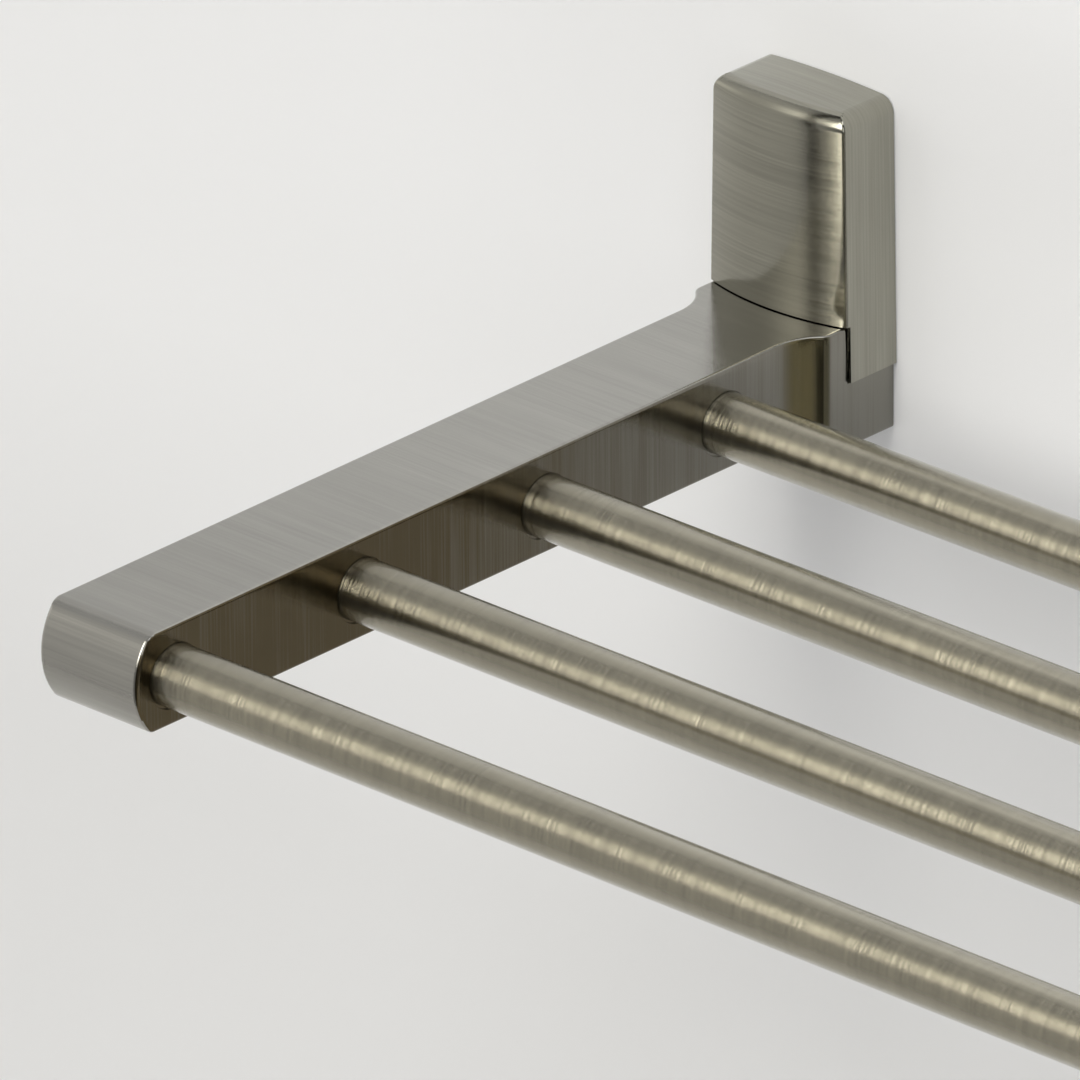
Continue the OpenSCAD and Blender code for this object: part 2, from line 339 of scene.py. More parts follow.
FLARE_STEPS = 14
FLARE_END_STEPS = 6
NOSE_STEPS = 16
EDGE_ROUND = 0.85 * MM
OUTER_NOSE_ROUND = 1.75 * MM
INNER_NOSE_ROUND = 1.1 * MM
NOSE_TOP_ROUND = 2.4 * MM
NOSE_FOOT_ROUND = 1.1 * MM
RIM_CHAMFER = 0.1 * MM
MOUTH_DEPTH = 0.7 * MM
LEDGE = 0.5 * MM
SNUG = 0.05 * MM
FLANGE_SEGMENTS = 10
# Edges this close to the wall stay as they are
WALL_MARGIN = 0.1 * MM

# The flare is a long hollow arc and a short turn into the root block
FLARE_GROWTH = (root_width - ARM_WIDTH) / 2
FLARE_TURN = 2 * math.atan(FLARE_GROWTH / FLARE_LENGTH)
FLARE_RADIUS = FLARE_LENGTH / math.sin(FLARE_TURN) - FLARE_END_RADIUS
FLARE_START = -FLARE_TO_WALL - FLARE_LENGTH
FLARE_END = -FLARE_TO_WALL


def bracket_block(name, width, low_y, high_y, low_z, high_z):
    return block(
        name,
        (-bracket_x - width / 2, low_y, low_z),
        (-bracket_x + width / 2, high_y, high_z),
    )


def flare_share(y):
    """How much of the flare's growth is reached at y, from 0 on the straight arm to 1."""
    if y <= FLARE_START:
        return 0
    if y >= FLARE_END:
        return 1
    if y < FLARE_START + FLARE_RADIUS * math.sin(FLARE_TURN):
        rise = FLARE_RADIUS - math.sqrt(FLARE_RADIUS**2 - (y - FLARE_START) ** 2)
        return rise / FLARE_GROWTH
    rest = FLARE_END_RADIUS - math.sqrt(FLARE_END_RADIUS**2 - (FLARE_END - y) ** 2)
    return 1 - rest / FLARE_GROWTH


def shape_flare(arm):
    """Widens the arm to the root block and lowers its underside."""
    rows = [
        FLARE_START + FLARE_RADIUS * math.sin(FLARE_TURN * i / FLARE_STEPS)
        for i in range(FLARE_STEPS + 1)
    ]
    rows += [
        FLARE_END - FLARE_END_RADIUS * math.sin(FLARE_TURN * i / FLARE_END_STEPS)
        for i in range(FLARE_END_STEPS)
    ]
    cut(arm, 1, rows)
    wider = 2 * FLARE_GROWTH / ARM_WIDTH

    def flared(p):
        share = flare_share(p.y)
        drop = ROOT_DROP * share if near(p.z, arm_bottom) else 0
        return (p.x + bracket_x) * wider * share, 0, -drop

    bend(arm, flared)


def shape_top(arm):
    """Tilts the arm's top so that it climbs towards the wall."""
    bend(
        arm,
        lambda p: (0, 0, ARM_RISE * (1 - p.y / bar_ys[0]) if near(p.z, arm_top) else 0),
    )


def shape_nose(arm):
    """Bows the front face to an arc, seen from the side."""
    middle = (arm_top + arm_bottom) / 2
    reach = math.asin((arm_top - arm_bottom) / 2 / NOSE_RADIUS)
    angles = [reach * (2 * i / NOSE_STEPS - 1) for i in range(1, NOSE_STEPS)]
    cut(arm, 2, [middle + NOSE_RADIUS * math.sin(a) for a in angles])

    def bowed(p):
        if not near(p.y, nose_y):
            return 0, 0, 0
        return 0, NOSE_RADIUS - math.sqrt(NOSE_RADIUS**2 - (p.z - middle) ** 2), 0

    bend(arm, bowed)


def round_arm(arm):
    """Rounds the long edges and the nose's outline, most of all on the nose's outer side."""

    def radius_at(middle, a, b):
        flat, upright = sorted((a, b), key=lambda normal: abs(normal.x))
        if middle.y < bar_ys[0] and abs(upright.x) < 0.1 and a.dot(b) < 0.9:
            return NOSE_TOP_ROUND if a.z + b.z > 0 else NOSE_FOOT_ROUND
        if abs(upright.x) < SIDEWAYS or abs(flat.x) > 0.5 or middle.y > -WALL_MARGIN:
            return 0
        if flat.y > -0.7:
            return EDGE_ROUND
        return OUTER_NOSE_ROUND if upright.x < 0 else INNER_NOSE_ROUND

    round_by(arm, radius_at)


def make_flange():
    flange = bracket_block(
        "flange", FLANGE_WIDTH, -FLANGE_THICKNESS, 0, root_bottom + PAST, flange_top
    )
    round_edges(
        flange,
        lambda middle, a, b: near(middle.z, flange_top) and abs(a.x) + abs(b.x) > 0.9,
        FLANGE_CORNER,
        FLANGE_SEGMENTS,
    )
    return flange


def open_sockets(arm):
    inner = -bracket_x + ARM_WIDTH / 2
    socket_z = bar_z - SOCKET_DROP
    for y in bar_ys:
        start, end = (inner - SOCKET_DEPTH, y, bar_z), (inner, y, bar_z)
        combine(arm, rod("bore", start, end, bar_radius + SNUG), "DIFFERENCE")
        start, end = (inner - MOUTH_DEPTH, y, socket_z), (inner + PAST, y, socket_z)
        combine(arm, rod("mouth", start, end, SOCKET_RADIUS), "DIFFERENCE")
        grub_x = inner - SOCKET_DEPTH / 2
        start, end = (grub_x, y, arm_bottom - PAST), (grub_x, y, bar_z)
        combine(arm, rod("hole", start, end, GRUB_HOLE_RADIUS, HOLE_SIDES), "DIFFERENCE")

    def on_rim(middle, a, b):
        reach = min(math.hypot(middle.y - y, middle.z - socket_z) for y in bar_ys)
        on_circle = near(reach, SOCKET_RADIUS, 0.05 * MM)
        return near(middle.x, inner) and on_circle and abs(a.x + b.x) > 0.9

    round_edges(arm, on_rim, RIM_CHAMFER, RIM_SEGMENTS)


def open_flange(arm):
    for z in (-SCREW_Z, SCREW_Z):
        start, end = (-bracket_x, -FLANGE_THICKNESS - PAST, z), (-bracket_x, PAST, z)
        combine(arm, rod("hole", start, end, SCREW_HOLE_RADIUS, HOLE_SIDES), "DIFFERENCE")
    for side in (-1, 1):
        outside = -bracket_x + side * (FLANGE_WIDTH / 2 + PAST)
        inside = -bracket_x + side * (FLANGE_WIDTH / 2 - PAD_HOLE_DEPTH)
        middle = -FLANGE_THICKNESS / 2
        start, end = (inside, middle, 0), (outside, middle, 0)
        combine(arm, rod("hole", start, end, PAD_HOLE_RADIUS, HOLE_SIDES), "DIFFERENCE")


def open_notches(arm):
    """Steps beside the flange, where the cover's tongues hang behind shoulders that lean back."""
    inner_step = (FLANGE_WIDTH / 2, 0)
    outer_step = (root_width / 2 - LEDGE, SHOULDER_GAP - SEAM)
    for side in (-1, 1):
        outside = -bracket_x + side * root_width
        for inside_x, lean in (inner_step, outer_step):
            inside = -bracket_x + side * inside_x
            notch = block(
                "notch",
                (min(inside, outside), -TONGUE_TO_WALL - SEAM, tongue_bottom - SEAM),
                (max(inside, outside), PAST, root_top),
            )
            edit(notch, "FACE", lambda face: face.normal.z > 0.9)
            bpy.ops.mesh.extrude_region_move(TRANSFORM_OT_translate={"value": (0, 0, PAST)})
            done()
            shift(notch, lambda p: p.y < 0 and p.z > root_top - FINEST_MOVE, (0, -lean, 0))
            combine(arm, notch, "DIFFERENCE")

    def on_shoulder(middle, a, b):
        return (
            abs(middle.x + bracket_x) > root_width / 2 - 0.5 * MM
            and -TONGUE_TO_WALL - SHOULDER_GAP - WALL_MARGIN < middle.y < -WALL_MARGIN
            and a.dot(b) < 0.3
            and tongue_bottom - 2 * SEAM < middle.z < root_top + WALL_MARGIN
        )

    round_edges(arm, on_shoulder, RIM_CHAMFER, RIM_SEGMENTS)


def make_arm():
    arm = bracket_block("left_bracket", ARM_WIDTH, nose_y, 0, arm_bottom, arm_top)
    shape_flare(arm)
    shape_nose(arm)
    shape_top(arm)
    round_arm(arm)
    open_notches(arm)
    combine(arm, make_flange(), "UNION")
    open_sockets(arm)
    open_flange(arm)
    smooth(arm)
    mark_sides(arm, lambda normal: abs(normal.x) > SIDEWAYS)
    return arm


# The post cover

BOW_STEPS = 22
CROWN_STEPS = 10
BOW_RISE = -cover_front - COVER_SIDE
BOW_RADIUS = ((COVER_WIDTH / 2) ** 2 + BOW_RISE**2) / (2 * BOW_RISE)
# The bow meets each flat side at this angle
CORNER_TURN = math.acos(COVER_WIDTH / 2 / BOW_RADIUS)


def cover_width(z):
    return COVER_WIDTH - 2 * math.tan(DRAFT) * (z - root_top)


def cover_plan(name, inset, z):
    """The cover's outline: two flat sides and a bowed front."""
    half = COVER_WIDTH / 2 - inset
    bow = BOW_RADIUS - inset
    bow_y = cover_front + BOW_RADIUS
    corner_y = bow_y - math.sqrt(bow**2 - half**2)
    middle = -bracket_x
    return trace(
        name,
        (middle + half, 0, z),
        [
            Vector((0, corner_y, 0)),
            (Vector((middle, bow_y, z)), 2 * math.asin(half / bow), BOW_STEPS),
            Vector((0, -corner_y, 0)),
        ],
    )


def draft_sides(body):
    """Narrows the cover upwards."""
    bend(body, lambda p: ((p.x + bracket_x) * (cover_width(p.z) / COVER_WIDTH - 1), 0, 0))


def dome_top(body, top):
    """Bows the top from side to side; the rounding round it goes along."""
    half = cover_width(top) / 2
    steps = [half * (2 * i / BOW_STEPS - 1) for i in range(1, BOW_STEPS)]
    cut(body, 0, [-bracket_x + x for x in steps], lambda face: face.normal.z > 0.99)

    def domed(p):
        share = max(0, p.z - top + CROWN_RADIUS) / CROWN_RADIUS
        return 0, 0, DOME * (1 - ((p.x + bracket_x) / half) ** 2) * share

    bend(body, domed)


def corner_radius(middle, a, b):
    """The upright corners' rounding, which runs out over the crown."""
    level = min(a.xy.length, b.xy.length)
    if max(a.y, b.y) > 0.5 or level < 0.02 or a.xy.normalized().dot(b.xy.normalized()) > 0.9:
        return 0
    return level * CORNER_RADIUS * math.tan(CORNER_TURN / 2)


def make_cover():
    top = cover_top - DOME
    cover = cover_plan("left_post_cover", 0, tongue_bottom)
    raise_up(cover, top - tongue_bottom)
    round_edges(
        cover,
        lambda middle, a, b: near(middle.z, top) and max(a.y, b.y) < 0.5,
        CROWN_RADIUS,
        CROWN_STEPS,
    )
    round_by(cover, corner_radius)
    draft_sides(cover)
    dome_top(cover, top)
    inside = cover_plan("inside", COVER_WALL, tongue_bottom - PAST)
    raise_up(inside, top - COVER_WALL - tongue_bottom + PAST)
    shift(inside, lambda p: near(p.y, 0), (0, PAST, 0))
    draft_sides(inside)
    combine(cover, inside, "DIFFERENCE")
    front = bracket_block(
        "front",
        2 * COVER_WIDTH,
        cover_front - PAST,
        -TONGUE_TO_WALL,
        tongue_bottom - PAST,
        root_top + SEAM - ARM_RISE * TONGUE_TO_WALL / -bar_ys[0],
    )
    combine(cover, front, "DIFFERENCE")
    smooth(cover)
    mark_sides(cover, lambda normal: abs(normal.x) > SIDEWAYS or normal.z > 0.7)
    return cover


# The bars

RIM_ROUND = 0.4 * MM
BAR_BORE = 16 * MM


def make_bar(name, y):
    bar = rod(name, (-bar_end, y, bar_z), (bar_end, y, bar_z), bar_radius, BAR_SIDES)
    round_edges(bar, lambda middle, a, b: near(abs(middle.x), bar_end), RIM_ROUND, 3)
    for end in (-1, 1):
        edit(bar, "FACE", lambda face: face.normal.x * end > 0.99)
        bpy.ops.mesh.inset(thickness=BAR_WALL - RIM_ROUND)
        bpy.ops.mesh.extrude_region_move(TRANSFORM_OT_translate={"value": (-end * BAR_BORE, 0, 0)})
        done()
    smooth(bar)
    return bar


# Materials


class Wire:
    """A shader socket with arithmetic: an expression on wires adds its Math nodes."""

    def __init__(self, paint, socket):
        self.paint = paint
        self.socket = socket

    def math(self, operation, *others):
        return self.paint.add("ShaderNodeMath", {"operation": operation}, self, *others)["Value"]

    def __add__(self, other):
        return self.math("ADD", other)

    def __mul__(self, other):
        return self.math("MULTIPLY", other)

    def __sub__(self, other):
        return self.math("SUBTRACT", other)

    def __rsub__(self, other):
        return self.paint.add("ShaderNodeMath", {"operation": "SUBTRACT"}, other, self)["Value"]

    __radd__ = __add__
    __rmul__ = __mul__


class Paint:
    """A node tree being made, for a material or the world."""

    def __init__(self, owner):
        owner.use_nodes = True
        self.tree = owner.node_tree
        self.tree.nodes.clear()

    def fill(self, socket, value):
        if isinstance(value, Wire):
            self.tree.links.new(value.socket, socket)
        else:
            socket.default_value = (*value, 1) if socket.type == "RGBA" else value

    def add(self, kind, settings=None, *inputs, **named):
        """One node: its settings, then the values or links of its sockets, by place or by name."""
        node = self.tree.nodes.new(kind)
        for name, value in (settings or {}).items():
            if name == "stops":
                self.set_stops(node.color_ramp.elements, value)
            else:
                setattr(node, name, value)
        for socket, value in zip([s for s in node.inputs if s.enabled], inputs):
            self.fill(socket, value)
        for name, value in named.items():
            self.fill(node.inputs[name.replace("_", " ")], value)
        return {socket.name: Wire(self, socket) for socket in node.outputs if socket.enabled}

    def set_stops(self, elements, stops):
        """The first and last stop are there from the start, and the others go between them."""
        for element, (place, colour) in zip(elements, (stops[0], stops[-1])):
            element.position = place
            element.color = (*colour, 1)
        for place, colour in stops[1:-1]:
            elements.new(place).color = (*colour, 1)

    def noise(self, scale, detail=2.0):
        """Smooth noise from 0 to 1 that changes at the given rates per metre."""
        here = self.add("ShaderNodeTexCoord")["Object"]
        place = self.add("ShaderNodeMapping", {}, here, Scale=scale)["Vector"]
        return self.add("ShaderNodeTexNoise", {}, Vector=place, Scale=1.0, Detail=detail)["Fac"]

    def between(self, share, one, other):
        """A value between two others."""
        return (other - one) * share + one

    def blend(self, share, one, other):
        """A colour between two others."""
        return self.add("ShaderNodeMix", {"data_type": "RGBA"}, share, one, other)["Result"]

    def times(self, one, other):
        """Two colours multiplied."""
        settings = {"data_type": "RGBA", "blend_type": "MULTIPLY"}
        return self.add("ShaderNodeMix", settings, 1.0, one, other)["Result"]

    def climb(self, value, low, high):
        """0 up to low, 1 from high on, and eased between them."""
        settings = {"interpolation_type": "SMOOTHSTEP"}
        return self.add("ShaderNodeMapRange", settings, value, low, high, 0.0, 1.0)["Result"]

    def ramp(self, share, stops):
        """A colour read off a row of places from 0 to 1, each with its colour."""
        return self.add("ShaderNodeValToRGB", {"stops": stops}, share)["Color"]

    def bump(self, height, depth, strength=1.0):
        settings = {"Strength": strength, "Distance": depth, "Height": height}
        return self.add("ShaderNodeBump", {}, **settings)["Normal"]

    def surface(self, kind, **sockets):
        """The material is this one shader."""
        self.add("ShaderNodeOutputMaterial", {}, self.add(kind, {}, **sockets)["BSDF"])


# Lines per metre across the brushing, from the finest to the broadest, and along it
FINE_LINES = 20000
SEEN_LINES = 1900
BROAD_LINES = 260
ALONG_LINES = 24
CLOUDS = 30
# How deep the finest lines seem
ARM_BRUSHING = 0.009 * MM
COVER_BRUSHING = 0.006 * MM
BAR_BRUSHING = 0.036 * MM
# Roughness under the brush lines, and how much the lines add
ARM_GLOSS = 0.02
BAR_GLOSS = 0.1
LINE_ROUGHNESS = 0.1
# How much the brush lines and the clouds under them change the colour
SEEN_TONE = 2.0
BROAD_TONE = 1.2
CLOUD_TONE = 0.8
# The clear lacquer, and how much of it is worn off inside, at the nose and at the wall
LACQUER = 0.7
LACQUER_ROUGHNESS = 0.05
LACQUER_IOR = 1.5
NOSE_WEAR = 0.55
WALL_WEAR = 0.2

# Aged brass: each finish from its darkest to its palest colour
ARM_BRASS = ((0.265, 0.261, 0.242), (0.435, 0.427, 0.396))
COVER_BRASS = ((0.235, 0.229, 0.19), (0.385, 0.376, 0.314))
BAR_BRASS = ((0.265, 0.247, 0.192), (0.425, 0.397, 0.31))
# Painted shade on the faces towards the bars, darkest at the nose and paler at the wall: a dark
# reflection painted into the colour
INNER_PAINTED_SHADE = ((0.09, 0.07, 0.037), (0.22, 0.213, 0.185))
INNER_SHADE_START = 0.75 * nose_y
INNER_SHADE_END = 10 * MM
# Painted shade in the flare's hollow, a dark reflection painted into the colour, and how far it
# takes to set in
HOLLOW_PAINTED_SHADE = ((0.12, 0.1, 0.045), (0.08, 0.072, 0.04))
HOLLOW_START = (FLARE_START, FLARE_START + 5 * MM)
HOLLOW_DEEPER = (FLARE_END - 4 * MM, FLARE_END - 2 * MM)
HOLLOW_END = (FLARE_END - 1 * MM, FLARE_END)

# Grains per metre in the hidden small parts, how dark they are, and how deep they seem
METAL_GRAIN = 900
METAL_SHADE = 0.85
PLASTIC_GRAIN = 1500
PLASTIC_SHADE = 0.9
PLASTIC_GRAIN_DEPTH = 0.02 * MM

# The axes across the brushing, for the faces brushed one way and those brushed the other way
ARM_WAYS = [(0, 1, 1), (1, 1, 0)]
COVER_WAYS = [(0, 0, 1), (0, 1, 0)]
BAR_WAYS = [(1, 0, 0)]


def brushed(name, brass, ways, depth, gloss, contrast, painted_shade_inside=False):
    """Lacquered metal with fine brush lines, which run the second way on the marked faces."""
    material = bpy.data.materials.new(name)
    paint = Paint(material)
    side = paint.add("ShaderNodeAttribute", {"attribute_name": "side"})["Fac"]

    def lines(per_metre, detail):
        layers = [
            paint.noise([per_metre if across else ALONG_LINES for across in way], detail)
            for way in ways
        ]
        return paint.between(side, *layers) if len(layers) == 2 else layers[0]

    fine = lines(FINE_LINES, 1.0)
    seen = lines(SEEN_LINES, 2.0)
    broad = lines(BROAD_LINES, 1.0)
    cloud = paint.noise((CLOUDS, CLOUDS, CLOUDS), 2.0)
    shades = (seen - 0.5) * SEEN_TONE + (broad - 0.5) * BROAD_TONE + (cloud - 0.5) * CLOUD_TONE
    tone = shades * contrast + 0.5
    colour = paint.blend(tone, *brass)
    lacquer = LACQUER
    # Painted shade: the faces towards the bars and the flare's hollow get a darker colour that
    # stands in for dark reflections
    if painted_shade_inside:
        place = paint.add("ShaderNodeTexCoord")["Object"]
        y = paint.add("ShaderNodeSeparateXYZ", {}, place)["Y"]
        towards_wall = paint.climb(y, INNER_SHADE_START, INNER_SHADE_END)
        inner_shade = paint.blend(towards_wall + (tone - 0.5), *INNER_PAINTED_SHADE)
        # Painted shade in the flare's hollow, darkest near the root block
        hollow = paint.climb(y, *HOLLOW_START) * (1 - paint.climb(y, *HOLLOW_END))
        deep = paint.climb(y, *HOLLOW_DEEPER)
        inner_shade = paint.blend(hollow, inner_shade, paint.blend(deep, *HOLLOW_PAINTED_SHADE))
        inner = paint.add("ShaderNodeAttribute", {"attribute_name": "inner"})["Fac"]
        colour = paint.blend(inner, colour, inner_shade)
        lacquer = LACQUER - inner * paint.between(towards_wall, NOSE_WEAR, WALL_WEAR)
    paint.surface(
        "ShaderNodeBsdfPrincipled",
        Base_Color=colour,
        Metallic=1.0,
        Roughness=(seen + broad) * LINE_ROUGHNESS + gloss,
        Coat_Weight=lacquer,
        Coat_Roughness=LACQUER_ROUGHNESS,
        Coat_IOR=LACQUER_IOR,
        Normal=paint.bump(fine, depth),
    )
    return material


arm_metal = brushed("arm_metal", ARM_BRASS, ARM_WAYS, ARM_BRUSHING, ARM_GLOSS, 0.35, True)
cover_metal = brushed("cover_metal", COVER_BRASS, COVER_WAYS, COVER_BRUSHING, ARM_GLOSS, 0.5)
bar_metal = brushed("bar_metal", BAR_BRASS, BAR_WAYS, BAR_BRUSHING, BAR_GLOSS, 0.35)


def plain_metal(name, colour, roughness):
    """Bare metal with a fine grain."""
    material = bpy.data.materials.new(name)
    paint = Paint(material)
    grain = paint.noise((METAL_GRAIN, METAL_GRAIN, METAL_GRAIN), 3.0)
    paint.surface(
        "ShaderNodeBsdfPrincipled",
        Base_Color=paint.blend(grain, [c * METAL_SHADE for c in colour], colour),
        Metallic=1.0,
        Roughness=grain * 0.1 + roughness,
    )
    return material


def moulded_plastic(name, colour):
    material = bpy.data.materials.new(name)
    paint = Paint(material)
    grain = paint.noise((PLASTIC_GRAIN, PLASTIC_GRAIN, PLASTIC_GRAIN))
    paint.surface(
        "ShaderNodeBsdfPrincipled",
        Base_Color=paint.blend(grain, [c * PLASTIC_SHADE for c in colour], colour),
        Roughness=grain * 0.15 + 0.45,
        Normal=paint.bump(grain, PLASTIC_GRAIN_DEPTH, 0.3),
    )
    return material


zinc_steel = plain_metal("zinc_steel", (0.72, 0.72, 0.7), 0.28)
black_steel = plain_metal("black_steel", (0.12, 0.12, 0.12), 0.35)
turned_aluminium = plain_metal("turned_aluminium", (0.6, 0.6, 0.6), 0.35)
nylon = moulded_plastic("nylon", (0.55, 0.56, 0.56))


# Putting the pieces together


def dress(piece, material, slot, body, *nodes):
    piece.data.materials.clear()
    piece.data.materials.append(material)
    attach(piece, body)
    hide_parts(*nodes)


left_bracket = make_arm()
left_post_cover = make_cover()
dress(copy_mirrored(left_bracket, "right_bracket"), arm_metal, "arm_metal", "shelf", "right_arm")
dress(
    copy_mirrored(left_post_cover, "right_post_cover"),
    cover_metal,
    "cover_metal",
    "right_cover",
    "right_cover",
)
dress(left_bracket, arm_metal, "arm_metal", "shelf", "left_arm")
dress(left_post_cover, cover_metal, "cover_metal", "left_cover", "left_cover")
for name, y in zip(BARS, bar_ys):
    dress(make_bar(name.replace("_bar", "_rail"), y), bar_metal, "bar_metal", "shelf", name)

SMALL_PARTS = {
    "bar_plugs": turned_aluminium,
    "grub_screws": black_steel,
    "wall_screws": zinc_steel,
    "washers": zinc_steel,
    "wall_plugs": nylon,
    "cover_pads": nylon,
}
for end in ENDS:
    for part, material in SMALL_PARTS.items():
        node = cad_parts[f"{end}_{part}"]
        for slot in node.material_slots:
            slot.material = material


# The studio: a pale wall with openings behind the two flanges, a pale floor, soft light

WALL_WIDTH = 4.0
WALL_HEIGHT = 3.0
WALL_GAP = 0.3 * MM
FLOOR_Z = -0.8
FLOOR_WIDTH = 3.0
FLOOR_DEPTH = 0.9
OPENING_INSET = 2 * MM
WALL_WHITE = (0.8, 0.813, 0.85)
FLOOR_WHITE = (0.8, 0.8, 0.8)
# The paint's clouds per metre, and how dark they are
PAINT_CLOUDS = 6
PAINT_SHADE = 0.985
PAINT_ROUGHNESS = 0.8
# How much painted light the wall shows to the camera and in reflections, by height, in its left
# part and from the left arm on to the right: a glow round the shelf that fades out above and below
# it, painted shade towards the bottom, and on the right a brighter band higher up, a painted
# highlight on the arm's inner top edge
WALL_GLOW = [
    [(-1.5, 0), (-0.2, 0.02), (-0.09, 0.12), (0.02, 0.12), (0.1, 0), (1.5, 0)],
    [(-1.5, 0), (-0.2, 0), (-0.09, 0.1), (0.04, 0.1), (0.13, 0.3), (0.4, 0.3), (1.5, 0)],
]
GLOW_TURN = (-0.42, -0.34)


def wall_glow(paint):
    """The wall's painted light: a glow for the camera and for reflections alone."""
    rays = paint.add("ShaderNodeLightPath")
    seen = rays["Is Camera Ray"] + rays["Is Glossy Ray"] + rays["Is Transmission Ray"]
    place = paint.add("ShaderNodeSeparateXYZ", {}, paint.add("ShaderNodeTexCoord")["Object"])
    height = place["Z"] * (1 / WALL_HEIGHT) + 0.5
    left, right = [
        paint.ramp(height, [(z / WALL_HEIGHT + 0.5, (level,) * 3) for z, level in glow])
        for glow in WALL_GLOW
    ]
    white = paint.blend(paint.climb(place["X"], *GLOW_TURN), left, right)
    return paint.blend(seen, (0, 0, 0), white)


def pale(name, colour, for_wall=False):
    """A pale backdrop colour; the wall's has a painted glow of its own and is clear from behind."""
    material = bpy.data.materials.new(name)
    paint = Paint(material)
    clouds = paint.noise((PAINT_CLOUDS, PAINT_CLOUDS, PAINT_CLOUDS))
    sockets = {
        "Base_Color": paint.blend(clouds, [c * PAINT_SHADE for c in colour], colour),
        "Roughness": PAINT_ROUGHNESS,
    }
    if for_wall:
        sockets |= {"Emission_Color": wall_glow(paint), "Emission_Strength": 1.0}
    shader = paint.add("ShaderNodeBsdfPrincipled", {}, **sockets)["BSDF"]
    if for_wall:
        back = paint.add("ShaderNodeNewGeometry")["Backfacing"]
        clear = paint.add("ShaderNodeBsdfTransparent")["BSDF"]
        shader = paint.add("ShaderNodeMixShader", {}, back, shader, clear)["Shader"]
    paint.add("ShaderNodeOutputMaterial", {}, shader)
    return material


def make_wall():
    deselect_all()
    upright = (math.pi / 2, 0, 0)
    bpy.ops.mesh.primitive_plane_add(size=1, location=(0, WALL_GAP, 0), rotation=upright)
    wall = bpy.context.object
    wall.name = "backdrop_wall"
    wall.scale = (WALL_WIDTH, WALL_HEIGHT, 1)
    settle(wall)
    low = root_bottom + OPENING_INSET
    high = flange_top - OPENING_INSET
    half = FLANGE_WIDTH / 2 - OPENING_INSET
    cut(wall, 2, [low, high])
    for end in ENDS.values():
        cut(wall, 0, [end * bracket_x - half, end * bracket_x + half])
    edit(
        wall,
        "FACE",
        lambda face: low < face.center.z < high and abs(abs(face.center.x) - bracket_x) < half,
    )
    bpy.ops.mesh.delete(type="FACE")
    done()
    wall.data.materials.append(pale("wall_white", WALL_WHITE, True))
    return wall


def make_floor():
    deselect_all()
    bpy.ops.mesh.primitive_plane_add(size=1, location=(0, -FLOOR_DEPTH / 2, FLOOR_Z))
    floor = bpy.context.object
    floor.name = "floor"
    floor.scale = (FLOOR_WIDTH, FLOOR_DEPTH, 1)
    settle(floor)
    floor.data.materials.append(pale("floor_white", FLOOR_WHITE))
    return floor


def area_lamp(name, place, aim, size, power):
    deselect_all()
    light = bpy.data.lights.new(name, "AREA")
    light.shape = "RECTANGLE"
    light.size, light.size_y = size
    light.energy = power
    lamp = bpy.data.objects.new(name, light)
    lamp.location = place
    lamp.rotation_euler = (Vector(aim) - Vector(place)).to_track_quat("-Z", "Y").to_euler()
    bpy.context.scene.collection.objects.link(lamp)
    return lamp


# The room's light by the angle over the front, and how warm it is; 0 is level in front, 90 is up
ROOM_LIGHT = [
    (-180, 0.77, 0),
    (-110, 0.75, 0),
    (-82, 0.62, 0.03),
    (-52, 0.58, 0.07),
    (-22, 0.58, 0.07),
    (8, 0.63, 0.07),
    (32, 0.75, 0.08),
    (60, 0.62, 0.06),
    (78, 0.55, 0.04),
    (98, 0.53, 0.03),
    (128, 0.56, 0),
    (180, 0.77, 0),
]
# How much of it comes from each side, by the sideways part of the direction, -1 is from the left
FROM_THE_SIDE = [
    (-1, 1.15),
    (-0.89, 1.1),
    (-0.75, 1),
    (-0.6, 1),
    (-0.45, 0.95),
    (-0.36, 0.8),
    (-0.343, 0.7),
    (-0.336, 0.02),
    (-0.246, 0.02),
    (-0.241, 1.9),
    (-0.231, 1.9),
    (-0.227, 0.9),
    (-0.2, 0.6),
    (-0.16, 0.6),
    (-0.145, 0.8),
    (-0.12, 0.5),
    (0, 0.35),
    (0.3, 0.3),
    (0.6, 0.12),
    (0.77, 0.12),
    (0.8, 0.5),
    (0.93, 0.5),
    (1, 0.35),
]
# The ramps hold these two as parts of this level
BRIGHTEST = 3

# A warm window to the right of the middle, by the same two measures
WINDOW_LIGHT = 8.0
WINDOW_COLOUR = (1, 0.965, 0.87)
WINDOW_RISE = [
    (-180, 0),
    (8, 0),
    (18, 0.85),
    (26, 1),
    (36, 1),
    (42, 0.8),
    (50, 0.25),
    (60, 0),
    (180, 0),
]
WINDOW_SIDE = [
    (-1, 0.05),
    (-0.8, 0),
    (-0.62, 0),
    (-0.45, 0.08),
    (-0.345, 0.12),
    (-0.335, 0),
    (-0.246, 0),
    (-0.241, 0.25),
    (-0.231, 0.25),
    (-0.226, 0.03),
    (-0.15, 0.03),
    (-0.08, 1),
    (0.12, 1),
    (0.3, 0),
    (1, 0),
]


def around(table, colour_of):
    """A ramp's stops from a table by the angle over the front."""
    return [(angle / 360 + 0.5, colour_of(*row)) for angle, *row in table]


def sideways(table, full):
    """A ramp's stops from a table by the sideways part of the direction, as parts of full."""
    return [(x / 2 + 0.5, (part / full,) * 3) for x, part in table]


def room_colour(level, warm):
    return [level / BRIGHTEST * c for c in (1, 1 - 0.3 * warm, 1 - warm)]


def window_colour(part):
    return [part * c for c in WINDOW_COLOUR]


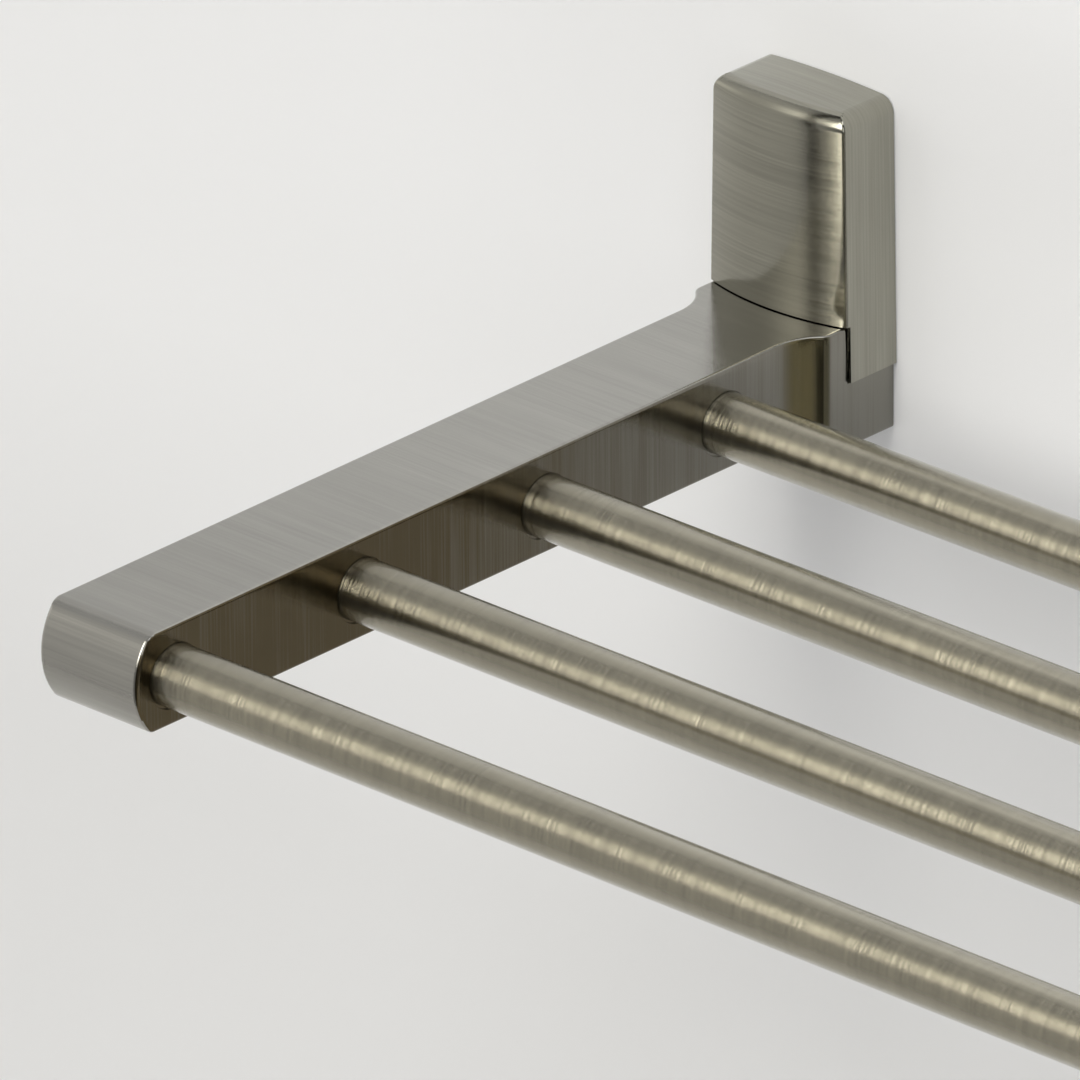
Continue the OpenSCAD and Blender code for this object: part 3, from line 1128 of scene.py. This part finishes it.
def make_world():
    world = bpy.data.worlds.new("studio")
    bpy.context.scene.world = world
    paint = Paint(world)
    way = paint.add("ShaderNodeSeparateXYZ", {}, paint.add("ShaderNodeTexCoord")["Generated"])
    over = way["Z"].math("ARCTAN2", way["Y"] * -1.0) * (0.5 / math.pi) + 0.5
    across = way["X"] * 0.5 + 0.5
    level = paint.ramp(over, around(ROOM_LIGHT, room_colour))
    share = paint.ramp(across, sideways(FROM_THE_SIDE, BRIGHTEST))
    room = paint.add("ShaderNodeBackground", {}, paint.times(level, share), BRIGHTEST**2)
    rise = paint.ramp(over, around(WINDOW_RISE, window_colour))
    side = paint.ramp(across, sideways(WINDOW_SIDE, 1))
    window = paint.add("ShaderNodeBackground", {}, paint.times(rise, side), WINDOW_LIGHT)
    both = paint.add("ShaderNodeAddShader", {}, room["Background"], window["Background"])
    paint.add("ShaderNodeOutputWorld", {}, both["Shader"])


make_wall()
make_floor()
make_world()
area_lamp("right_light", place=(1.3, -1.5, 0.8), aim=(-0.2, -0.1, 0), size=(0.9, 1.5), power=5)
area_lamp("top_light", place=(0.3, -0.45, 1.45), aim=(-0.28, -0.13, 0), size=(0.7, 0.7), power=3)


# The camera, matched to the photograph: turned 43 degrees from the front and 25 degrees up

CAMERA_TURN = math.radians(42.865)
CAMERA_RISE = math.radians(24.817)
CAMERA_ROLL = math.radians(-0.328)
CAMERA_DISTANCE = 3.887
IMAGE_SIDE = 1080
FOCAL_PIXELS = 18750
SENSOR = 36
FARTHEST = 30
# Where the front socket's axis meets the left arm's inner face in the photograph, in pixels
AIM_PIXEL = (174.36, 675.66)


def make_camera():
    back = Vector(
        (
            math.sin(CAMERA_TURN) * math.cos(CAMERA_RISE),
            -math.cos(CAMERA_TURN) * math.cos(CAMERA_RISE),
            math.sin(CAMERA_RISE),
        )
    )
    level_right = Vector((math.cos(CAMERA_TURN), math.sin(CAMERA_TURN), 0))
    level_up = back.cross(level_right)
    right = math.cos(CAMERA_ROLL) * level_right + math.sin(CAMERA_ROLL) * level_up
    up = math.cos(CAMERA_ROLL) * level_up - math.sin(CAMERA_ROLL) * level_right
    aim = Vector((-bracket_x + ARM_WIDTH / 2, bar_ys[0], bar_z - SOCKET_DROP))
    metres_per_pixel = CAMERA_DISTANCE / FOCAL_PIXELS
    across = (AIM_PIXEL[0] - IMAGE_SIDE / 2) * metres_per_pixel
    down = (AIM_PIXEL[1] - IMAGE_SIDE / 2) * metres_per_pixel
    place = aim + back * CAMERA_DISTANCE - right * across + up * down
    data = bpy.data.cameras.new("camera")
    data.sensor_fit = "HORIZONTAL"
    data.sensor_width = SENSOR
    data.lens = FOCAL_PIXELS / IMAGE_SIDE * SENSOR
    data.clip_end = FARTHEST
    camera = bpy.data.objects.new("camera", data)
    turn = Matrix((right, up, back)).transposed().to_4x4()
    camera.matrix_world = Matrix.Translation(place) @ turn
    bpy.context.scene.collection.objects.link(camera)
    bpy.context.scene.camera = camera


make_camera()
bpy.context.scene.view_settings.view_transform = "Standard"
